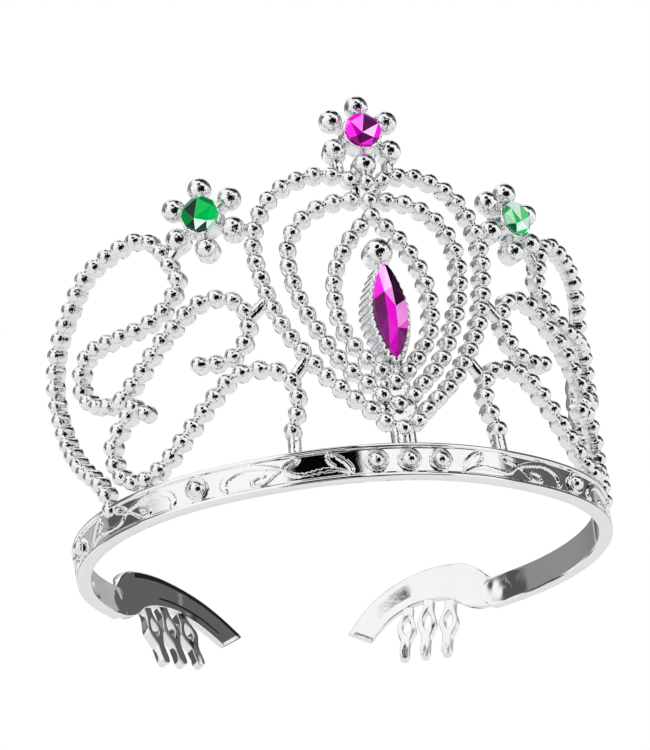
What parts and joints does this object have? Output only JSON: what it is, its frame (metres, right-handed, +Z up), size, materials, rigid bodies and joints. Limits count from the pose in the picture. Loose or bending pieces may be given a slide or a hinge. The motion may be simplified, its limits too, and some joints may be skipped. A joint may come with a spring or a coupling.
{
  "type": "crown",
  "caption": "Costume tiara: C-shaped band with scroll relief, beaded openwork with flower settings and a navette stone, and a toothed comb moulded on each end.",
  "frame": {"origin": "middle of the head opening, in the plane of the band's lower edge", "axes": "+Z up through the openwork, the front of the tiara faces -Y, +X to the right of someone facing it"},
  "size_m": [0.1316, 0.1115, 0.104],
  "materials": {
    "silver_moulding": "vacuum-metallised chrome silver over moulded polystyrene",
    "stone_magenta": "transparent faceted acrylic, foil back",
    "stone_green": "transparent faceted acrylic, foil back"
  },
  "bodies": {
    "root": {"ball": "silver_moulding", "centre_post": "silver_moulding", "collet": "silver_moulding", "flower_left": "silver_moulding", "flower_right": "silver_moulding", "flower_top": "silver_moulding", "headband": "silver_moulding", "left_comb_plate": "silver_moulding", "left_comb_tooth_1": "silver_moulding", "left_comb_tooth_2": "silver_moulding", "left_comb_tooth_3": "silver_moulding", "left_inner_loop": "silver_moulding", "left_inner_vine": "silver_moulding", "left_lower_link": "silver_moulding", "left_middle_loop": "silver_moulding", "left_middle_vine": "silver_moulding", "left_outer_crest": "silver_moulding", "left_outer_hook": "silver_moulding", "left_outer_loop": "silver_moulding", "left_outer_rail": "silver_moulding", "left_post": "silver_moulding", "left_upper_link": "silver_moulding", "right_comb_plate": "silver_moulding", "right_comb_tooth_1": "silver_moulding", "right_comb_tooth_2": "silver_moulding", "right_comb_tooth_3": "silver_moulding", "right_inner_loop": "silver_moulding", "right_inner_vine": "silver_moulding", "right_lower_link": "silver_moulding", "right_middle_loop": "silver_moulding", "right_middle_vine": "silver_moulding", "right_outer_crest": "silver_moulding", "right_outer_hook": "silver_moulding", "right_outer_loop": "silver_moulding", "right_outer_rail": "silver_moulding", "right_post": "silver_moulding", "right_upper_link": "silver_moulding", "stone_left": "stone_green", "stone_navette": "stone_magenta", "stone_right": "stone_green", "stone_top": "stone_magenta", "stud_front_left": "silver_moulding", "stud_front_middle": "silver_moulding", "stud_front_right": "silver_moulding", "stud_rear_left": "silver_moulding", "stud_rear_right": "silver_moulding", "stud_side_left": "silver_moulding", "stud_side_right": "silver_moulding"}
  },
  "joints": []
}
